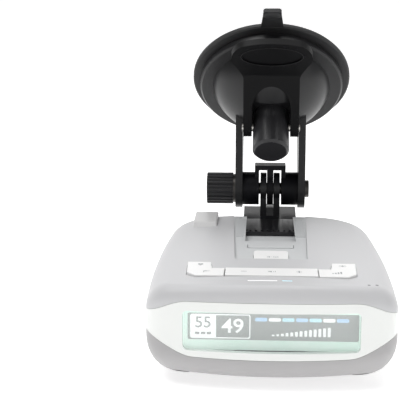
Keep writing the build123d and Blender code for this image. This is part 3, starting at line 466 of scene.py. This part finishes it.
def finish_piece(piece, finish, body, replaced, smooth=32, bevel=0.0):
    """Weld, bevel and shade a piece, give it its finish, attach it to its body and hide the nodes it
    replaces.
    """
    piece.data.materials.clear()
    piece.data.materials.append(finish)
    for face in piece.data.polygons:
        face.material_index = 0
    grid = bmesh.new()
    grid.from_mesh(piece.data)
    bmesh.ops.remove_doubles(grid, verts=grid.verts, dist=0.004 * MM)
    bmesh.ops.dissolve_degenerate(grid, edges=grid.edges, dist=0.004 * MM)
    grid.to_mesh(piece.data)
    grid.free()
    if bevel:
        step = piece.modifiers.new("edge", "BEVEL")
        step.width = bevel * MM
        step.segments = 3
        step.limit_method = "ANGLE"
        step.angle_limit = radians(40)
    piece.data.shade_smooth()
    piece.data.set_sharp_from_angle(angle=radians(smooth))
    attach(piece, body)
    if replaced:
        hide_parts(*replaced)


BEZEL_BACK = 12.0
RECESS_FRONT, RECESS_HALF_FRONT, RECESS_HALF_REAR = 43.0, 12.8, 16.0
SOCKET_Z = 14.5
BOX_SOCKETS = ((96.0, 12.0, 7.4), (80.0, 8.7, 4.6))      # y, width and height
AUDIO_Y, AUDIO_R = 66.0, 3.3
SPEAKER_Y, SLOT_PITCH = 38, 3.2
WELL_X, WELL_Y, WELL_R = 31.0, (46.0, 108.0), 2.1        # screw wells
outer = body_mesh("outer_body", 0.0)
inner = body_mesh("inner_body", WALL)
bezel_inner = body_mesh("bezel_inner", 2.2)

front_trim = copy_of(outer, "front_trim")
cut(front_trim, bezel_band("band", 0.0, -6, BEZEL_BACK), "INTERSECT")
cut(front_trim, bezel_inner)
window = plate(WINDOW_W / 2, WINDOW_H / 2, 0, WINDOW_Z, 1.6)
cut(front_trim, prism("window", window, lambda u, v, w: det(u, w - 8, v), 30))
finish_piece(front_trim, BEZEL, "detector", ["front_bezel"], bevel=0.25)

cut(outer, copy_of(inner, "inner_copy"))
under_case = copy_of(outer, "under_case")
cut(under_case, slab("above", PARTING - SEAM, 60))
cut(under_case, bezel_band("band", SEAM, -6, BEZEL_BACK + SEAM))
sockets = [plate(w / 2, h / 2, y, SOCKET_Z, 0.4) for y, w, h in BOX_SOCKETS]
sockets.append(disc(AUDIO_Y, SOCKET_Z, AUDIO_R, 40))
cut(under_case, joined([prism("socket", loop, lambda u, v, w: det(36 + w, u, v), 12) for loop in sockets]))
holes = [plate(8.5, 0.7, 0, SPEAKER_Y + SLOT_PITCH * (k - 2.5), 0.5) for k in range(6)]
holes += [disc(x, y, WELL_R, 28) for x in (-WELL_X, WELL_X) for y in WELL_Y]
cut(under_case, joined([prism("hole", loop, lambda u, v, w: det(u, v, w - 3), 9) for loop in holes]))
finish_piece(under_case, CASE, "detector", ["bottom_cover"], bevel=0.15)

roof_case = outer
roof_case.name = "roof_case"
cut(roof_case, slab("below", -20, PARTING))
cut(roof_case, bezel_band("band", SEAM, -6, BEZEL_BACK + SEAM))
recess = rounded([(-RECESS_HALF_FRONT, RECESS_FRONT), (RECESS_HALF_FRONT, RECESS_FRONT),
                  (RECESS_HALF_REAR, 150), (-RECESS_HALF_REAR, 150)], [1.2, 1.2, 0, 0])
key_row = [(-25.3, 15.75), (25.3, 15.75), (28.44, 19.93), (29.06, 34.65), (20.56, 34.65), (19.8, 26.25),
           (-19.8, 26.25), (-20.56, 34.65), (-29.06, 34.65), (-28.44, 19.93)]
cut(roof_case, joined([prism("recess", loop, lambda u, v, w: det(u, v, 25.6 + w), 20)
                       for loop in (recess, key_row)]))
bpy.data.objects.remove(inner)
finish_piece(roof_case, COVER, "detector", ["top_cover"], bevel=0.2)

# ---- hump over the rear laser sensor ----------------------------------------------------
sensor_low, sensor_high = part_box("laser_sensor")
HUMP_X = (sensor_low[0] + sensor_high[0]) / 2 / MM
HUMP_HALF, HUMP_FRONT, HUMP_REAR, HUMP_TOP = 4.8, 105.0, 126.0, 34.4
hump_side = rounded([(HUMP_FRONT, 30.8), (HUMP_FRONT + 2.6, HUMP_TOP - 0.7), (HUMP_REAR, HUMP_TOP),
                     (HUMP_REAR, 30.8)], [0, 1.6, 1.0, 0])
hump = prism("sensor_hump", hump_side, lambda u, v, w: det(HUMP_X - HUMP_HALF + w, u, v), 2 * HUMP_HALF)
hollow = rounded([(HUMP_FRONT + 4, 30.0), (HUMP_FRONT + 4.6, HUMP_TOP - 1.8),
                  (HUMP_REAR + 3, HUMP_TOP - 1.2), (HUMP_REAR + 3, 30.0)], [0, 0.8, 0, 0])
cut(hump, prism("hollow", hollow, lambda u, v, w: det(HUMP_X - HUMP_HALF + 1 + w, u, v), 2 * HUMP_HALF - 2))
finish_piece(hump, HUMP, "detector", None, bevel=0.5)

# ---- printed marks ----------------------------------------------------------------------
def printed(name, loops, place, height, finish, body, text=None, size=1.0, middle=(0, 0), stretch=1.0,
            weight=0.0):
    """Flat raised print: closed loops in mm, or a number, laid out by place(u, v, w)."""
    if text is None:
        flat = bpy.data.curves.new(name, "CURVE")
        flat.dimensions = "2D"
        flat.fill_mode = "BOTH"
        for loop in loops:
            spline = flat.splines.new("POLY")
            spline.points.add(len(loop) - 1)
            for point, (u, v) in zip(spline.points, loop):
                point.co = (u, v, 0, 1)
            spline.use_cyclic_u = True
    else:
        flat = bpy.data.curves.new(name, "FONT")
        flat.body = text
        flat.size = size
        flat.align_x = "CENTER"
        flat.align_y = "CENTER"
        flat.resolution_u = 6
        flat.offset = weight
    flat.extrude = height / 2
    carrier = bpy.data.objects.new(name + "_flat", flat)
    scene.collection.objects.link(carrier)
    mesh = bpy.data.meshes.new_from_object(carrier.evaluated_get(bpy.context.evaluated_depsgraph_get()))
    bpy.data.objects.remove(carrier)
    for vertex in mesh.vertices:
        u, v, w = vertex.co
        vertex.co = place(middle[0] + u * stretch, middle[1] + v, w + height / 2)
    grid = bmesh.new()
    grid.from_mesh(mesh)
    bmesh.ops.remove_doubles(grid, verts=grid.verts, dist=0.001 * MM)
    bmesh.ops.recalc_face_normals(grid, faces=grid.faces)
    grid.to_mesh(mesh)
    grid.free()
    made = bpy.data.objects.new(name, mesh)
    scene.collection.objects.link(made)
    mesh.materials.clear()
    mesh.materials.append(finish)
    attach(made, body)
    return made


def speaker_mark(x, y):
    horn = [(x - 1.1, y - 0.4), (x - 0.5, y - 0.4), (x + 0.1, y - 0.9), (x + 0.1, y + 0.9),
            (x - 0.5, y + 0.4), (x - 1.1, y + 0.4)]
    return [horn, bar(x + 0.7, y, 0.22, 0.9), bar(x + 1.25, y, 0.22, 1.5)]


def on_key(node):
    top = (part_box(node)[1][2] - BOTTOM_Z) / MM - 0.01
    return lambda u, v, w: det(u, v, top + w)


INK = 0.04
cross = [bar(1.9, 47.4, 2.2, 0.25, turn) for turn in (45, -45)]
printed("mute_mark", speaker_mark(-0.4, 47.4) + cross,
        on_key("mute_button"), INK, PRINT, "mute")
printed("volume_mark", [bar(-9.2, 21, 1.9, 0.42), bar(9.2, 21, 1.9, 0.42), bar(9.2, 21.73, 0.42, 1.03),
                        bar(9.2, 20.27, 0.42, 1.03)] + speaker_mark(0, 21),
        on_key("volume_rocker"), INK, PRINT, "volume")
sun = [disc(24.2, 30.6, 0.55)]
for k in range(8):
    sun.append(bar(24.2 + 1.1 * cos(k * pi / 4), 30.6 + 1.1 * sin(k * pi / 4), 0.5, 0.18, k * 45))
steps = [bar(20.4 + 0.9 * k, 20.2 + 0.3 * k, 0.55, 0.8 + 0.6 * k) for k in range(4)]
printed("right_mark", sun + steps, on_key("right_key"), INK, PRINT, "key_right")
pin_mark = [disc(-24.2, 31.0, 0.95), disc(-24.2, 31.0, 0.4), [(-24.75, 29.9), (-24.2, 29.0), (-23.65, 29.9)]]
flag = [bar(-22.6, 20.9, 0.22, 2.4), [(-22.4, 22.0), (-20.4, 21.5), (-22.4, 20.9)]]
printed("left_mark", pin_mark + flag, on_key("left_key"), INK, PRINT, "key_left")

# ---- display ----------------------------------------------------------------------------
GLOW = material("glow_white", (0.95, 0.96, 0.97), 0.4, grain=1, depth=0.0, tone=0.01,
                emission=(1, 1, 1), strength=0.35)
GLOW_BLUE = material("glow_blue", (0.55, 0.72, 0.93), 0.4, grain=1, depth=0.0, tone=0.02,
                     emission=(0.55, 0.75, 1.0), strength=0.3)
GLOW_CYAN = material("glow_cyan", (0.62, 0.86, 0.95), 0.4, grain=1, depth=0.0, tone=0.02,
                     emission=(0.6, 0.9, 1.0), strength=0.3)
# The display surround's mint tint is its own colour; its emission is a painted glow, as the surround is no
# lamp.
MINT_PAINTED_GLOW = material("display_mint_painted_glow", (0.94, 0.97, 0.95), 0.35, grain=2, depth=0.0, tone=0.01, drift=9.0,
                second=(0.68, 0.93, 0.82), emission=(0.8, 1.0, 0.9), strength=0.25)
PANEL_Y = (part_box("display_panel")[0][1] - FRONT_Y) / MM


def on_screen(u, v, w):
    return det(u, PANEL_Y - w, v)


def ring_mesh(name, sections, place):
    """Closed loop mesh through matching rectangles given as lists of points (u, v, w)."""
    mesh = bpy.data.meshes.new(name)
    grid = bmesh.new()
    rows = [[grid.verts.new(place(*p)) for p in ring] for ring in sections]
    for lower, upper in zip(rows, rows[1:] + rows[:1]):
        for i in range(len(lower)):
            j = (i + 1) % len(lower)
            grid.faces.new((lower[i], lower[j], upper[j], upper[i]))
    bmesh.ops.recalc_face_normals(grid, faces=grid.faces)
    grid.to_mesh(mesh)
    grid.free()
    made = bpy.data.objects.new(name, mesh)
    scene.collection.objects.link(made)
    return made


def frame_loop(x0, x1, z0, z1, r, w):
    return [(u, v, w) for u, v in rounded([(x0, z0), (x1, z0), (x1, z1), (x0, z1)], [r] * 4, 6)]


STRIP = (-27.0, 28.1, 15.9, 24.9)
face_loop = rounded([(-27.4, 15.5), (28.5, 15.5), (28.5, 25.3), (-27.4, 25.3)], [0.5] * 4, 6)
face_plate = prism("display_face", face_loop, lambda u, v, w: on_screen(u, v, -w), 1.2)
finish_piece(face_plate, SCREEN, "detector", ["display_panel"])
WIDE = (-WINDOW_W / 2 - 0.4, WINDOW_W / 2 + 0.4,
        WINDOW_Z - WINDOW_H / 2 - 0.4, WINDOW_Z + WINDOW_H / 2 + 0.4)
surround = ring_mesh("display_surround",
                     [frame_loop(*STRIP, 0.5, 0.05), frame_loop(*STRIP, 0.5, 0.3),
                      frame_loop(*WIDE, 1.6, 1.1), frame_loop(*WIDE, 1.6, 0.05)], on_screen)
finish_piece(surround, MINT_PAINTED_GLOW, "detector", None)

PRINTED = 0.05
BOX = (-26.2, -6.7, 16.3, 24.4)
DIVIDER = -17.8
box_loop = rounded([(BOX[0], BOX[2]), (BOX[1], BOX[2]), (BOX[1], BOX[3]), (BOX[0], BOX[3])], [0.7] * 4, 6)
box_hole = rounded([(DIVIDER, BOX[2] + 0.35), (BOX[1] - 0.35, BOX[2] + 0.35), (BOX[1] - 0.35, BOX[3] - 0.35),
                    (DIVIDER, BOX[3] - 0.35)], [0.05, 0.45, 0.45, 0.05], 5)
printed("speed_box", [box_loop, box_hole], on_screen, PRINTED, GLOW, "detector")
printed("speed_limit", [], lambda u, v, w: on_screen(u, v, w + PRINTED), 0.03, SCREEN, "detector",
        text="55", size=5.2, middle=(-22.0, 21.5), stretch=1.05, weight=0.02)
printed("speed_units", [bar(-23.9 + 1.9 * k, 18.0, 1.4, 0.8, 0, 0.25) for k in range(3)],
        lambda u, v, w: on_screen(u, v, w + PRINTED), 0.03, SCREEN, "detector")
printed("speed_now", [], on_screen, PRINTED, GLOW, "detector",
        text="49", size=6.6, middle=(-12.4, 20.3), stretch=1.1, weight=0.1)
SEGMENTS = [GLOW_BLUE, GLOW, GLOW_CYAN, GLOW_BLUE, GLOW_CYAN, GLOW, GLOW_BLUE]
for number, glow in enumerate(SEGMENTS):
    printed("signal_%d" % (number + 1), [bar(-3.25 + 4.36 * number, 22.8, 3.96, 1.25, 0, 0.5)],
            on_screen, PRINTED, glow, "detector")
meter = [bar(0.6 + 1.5 * k, 17.3 + (0.5 + 0.22 * k) / 2, 0.95, 0.5 + 0.22 * k, 0, 0.2) for k in range(13)]
printed("strength_meter", meter, on_screen, PRINTED, GLOW, "detector")

# ---- trim on the case -------------------------------------------------------------------
def on_roof(u, v, w):
    return det(u, v, roof(u, v) + w)


# The trim pill is printed on the case and is no lamp; its glow materials give it a painted glow.
printed("painted_glow_trim_pill", [bar(-3.0, 9.6, 9.6, 0.9, 0, 0.4)], lambda u, v, w: on_roof(u, v, w - 0.02), 0.06, GLOW,
        "detector")
printed("trim_pill_end", [bar(5.0, 9.6, 3.4, 0.9, 0, 0.4)], lambda u, v, w: on_roof(u, v, w - 0.02), 0.06,
        GLOW_CYAN, "detector")

# Dark discs stand where the sensor holes open: their darkness is painted shade, as no holes are cut.
HOLE_SHADE = material("hole_painted_shade", (0.10, 0.10, 0.11), 0.5, grain=0.3, depth=0.0, tone=0.1)
for number, (x, y) in enumerate(((31.2, 9.0), (33.8, 9.8))):
    printed("sensor_hole_shade_%d" % (number + 1), [disc(x, y, 0.5)], lambda u, v, w: on_roof(u, v, w - 0.03),
            0.06, HOLE_SHADE, "detector")
LIP_Z = (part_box("dock_tray")[1][2] - BOTTOM_Z) / MM - 0.02
grip = [bar(side * 12.1, 88.0 + 1.7 * k, 3.4, 0.8, 0, 0.3) for side in (-1, 1) for k in range(20)]
printed("tray_ribs", grip, lambda u, v, w: det(u, v, LIP_Z + w), 0.3, TRAY, "detector")

# ---- mount details ----------------------------------------------------------------------
PAD_OUT = 18.0
pads = [(0, 6.2), (4.8, 5.8), (9.6, 4.3), (13.2, 0.0)]
spots = sorted({(s * x, t * y) for x, y in pads for s in (-1, 1) for t in (-1, 1)})
printed("lever_dots", [disc(x, 32.9 + y, 0.42, 16) for x, y in spots if abs(x) + abs(y) > 0],
        lambda u, v, w: glass(u, v, PAD_OUT - 0.02 + w), 0.14, BLACK_MATT, "lever")
oval = [(12.6 * cos(k * pi / 40), 32.6 + 5.4 * sin(k * pi / 40)) for k in range(80)]
oval_in = [(12.3 * cos(k * pi / 40), 32.6 + 5.1 * sin(k * pi / 40)) for k in range(80)]
printed("lever_oval", [oval, oval_in], lambda u, v, w: glass(u, v, PAD_OUT - 0.02 + w), 0.16, BLACK, "lever")
bulge = bmesh.new()
bmesh.ops.create_uvsphere(bulge, u_segments=36, v_segments=20, radius=1.0)
for vertex in bulge.verts:
    x, y, z = vertex.co
    swell = 1 + 0.18 * abs(x * y)
    vertex.co = glass(3.75 * x * swell, 40.3 + 2.15 * y * swell, 2.05 + 1.75 * z)
bmesh.ops.recalc_face_normals(bulge, faces=bulge.faces)
bulge_mesh = bpy.data.meshes.new("tab_grip")
bulge.to_mesh(bulge_mesh)
bulge.free()
tab_grip = bpy.data.objects.new("tab_grip", bulge_mesh)
scene.collection.objects.link(tab_grip)
finish_piece(tab_grip, RUBBER, "mount", None)

# ---- stage ------------------------------------------------------------------------------
PALE = material("floor_pale", (0.94, 0.94, 0.94), 0.8, grain=4, depth=0.0, tone=0.0, spec=0.1,
                emission=(1, 1, 1), strength=0.5)
FLOOR_Z = BOTTOM_Z - 0.2 * MM
SWEEP_FOOT, SWEEP_R = 1.1, 0.8        # metres behind the mount, and radius of the curve
sweep = [(-4.0, 0.0), (SWEEP_FOOT, 0.0)]
for k in range(1, 13):
    angle = k * pi / 24
    sweep.append((SWEEP_FOOT + SWEEP_R * sin(angle), SWEEP_R - SWEEP_R * cos(angle)))
sweep.append((SWEEP_FOOT + SWEEP_R, 4.0))
grid = bmesh.new()
edges = [[grid.verts.new((x, y, FLOOR_Z + z)) for y, z in sweep] for x in (-4.0, 4.0)]
for k in range(len(sweep) - 1):
    grid.faces.new((edges[0][k], edges[1][k], edges[1][k + 1], edges[0][k + 1]))
floor_mesh = bpy.data.meshes.new("floor")
grid.to_mesh(floor_mesh)
grid.free()
floor_mesh.shade_smooth()
floor = bpy.data.objects.new("floor", floor_mesh)
scene.collection.objects.link(floor)
floor_mesh.materials.append(PALE)


def area_light(name, place, target, size, power):
    light = bpy.data.objects.new(name, bpy.data.lights.new(name, "AREA"))
    light.data.shape = "RECTANGLE"
    light.data.size, light.data.size_y = size
    light.data.energy = power
    light.location = place
    light.rotation_euler = (Vector(target) - Vector(place)).to_track_quat("-Z", "Y").to_euler()
    scene.collection.objects.link(light)


area_light("key_light", (-0.45, -0.35, 0.95), (0, -0.08, -0.03), (0.6, 0.6), 4.8)
area_light("fill_light", (0.9, -0.5, 0.45), (0, -0.08, -0.03), (0.5, 0.8), 1.6)
area_light("top_light", (0.05, 0.25, 1.0), (0, -0.08, -0.05), (1.2, 0.8), 5.4)
area_light("front_light", (0.0, -1.3, 0.3), (0, -0.1, -0.03), (1.0, 0.5), 0.9)
scene.view_settings.view_transform = "Standard"
world = bpy.data.worlds.new("studio")
scene.world = world
world.use_nodes = True
world.node_tree.nodes["Background"].inputs["Color"].default_value = (1, 1, 1, 1)
world.node_tree.nodes["Background"].inputs["Strength"].default_value = 0.2

# ---- camera -----------------------------------------------------------------------------
CAMERA_SIDE = -3.4
CAMERA_BACK = 337.0          # in front of the detector's face and above its bottom, in mm
CAMERA_HIGH = 125.8
CAMERA_PITCH = 10.57
CAMERA_YAW = 3.27
camera = bpy.data.objects.new("camera", bpy.data.cameras.new("camera"))
camera.data.lens = 99.4
camera.data.sensor_width = 36
camera.data.clip_start = 0.02
camera.location = det(CAMERA_SIDE, -CAMERA_BACK, CAMERA_HIGH)
camera.rotation_euler = (radians(90 - CAMERA_PITCH), 0, radians(CAMERA_YAW))
scene.collection.objects.link(camera)
scene.camera = camera
